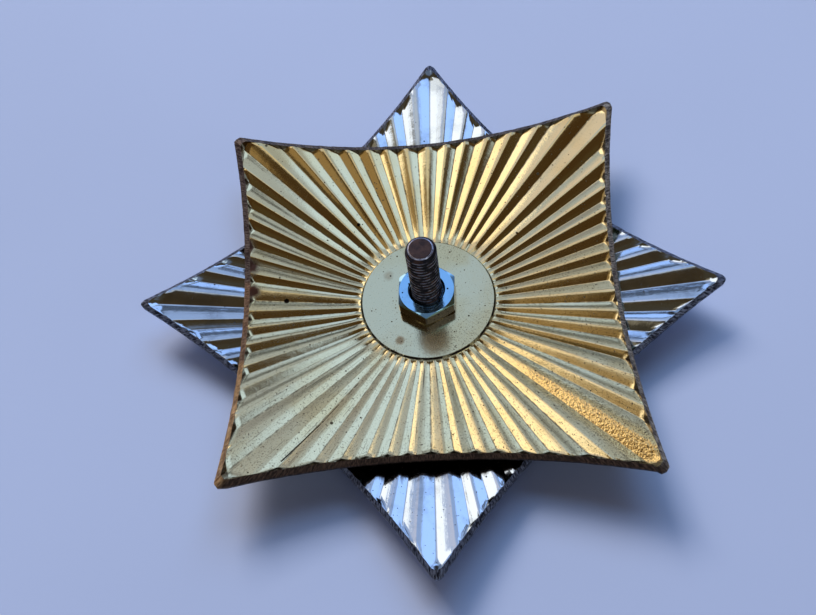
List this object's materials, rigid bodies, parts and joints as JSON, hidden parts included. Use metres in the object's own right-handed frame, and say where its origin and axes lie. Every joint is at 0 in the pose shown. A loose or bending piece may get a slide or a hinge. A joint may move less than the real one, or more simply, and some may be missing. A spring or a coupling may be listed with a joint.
{
  "type": "breast badge",
  "caption": "Two dished, ribbed star plates, gold over silver, clamped on a threaded post by a thin hexagon nut; modelled lying face down.",
  "frame": {"origin": "middle of the flat front face of the head, which the badge lies on", "axes": "+Z along the post towards its free end, +X and +Y towards two points of the silver plate"},
  "size_m": [0.0578, 0.0575, 0.0126],
  "materials": {
    "gold_star": "gilt brass sheet, rolled finish with fine pits, tarnished brown at the edges",
    "silver_star": "bright plated sheet with small dark specks",
    "hex_nut": "bright plated nut with small pits",
    "threaded_post": "blackened steel, dull on the thread, brown on the end face"
  },
  "bodies": {
    "root": {"gold_star": "gold_star", "silver_star": "silver_star", "hex_nut": "hex_nut", "threaded_post": "threaded_post"}
  },
  "joints": []
}
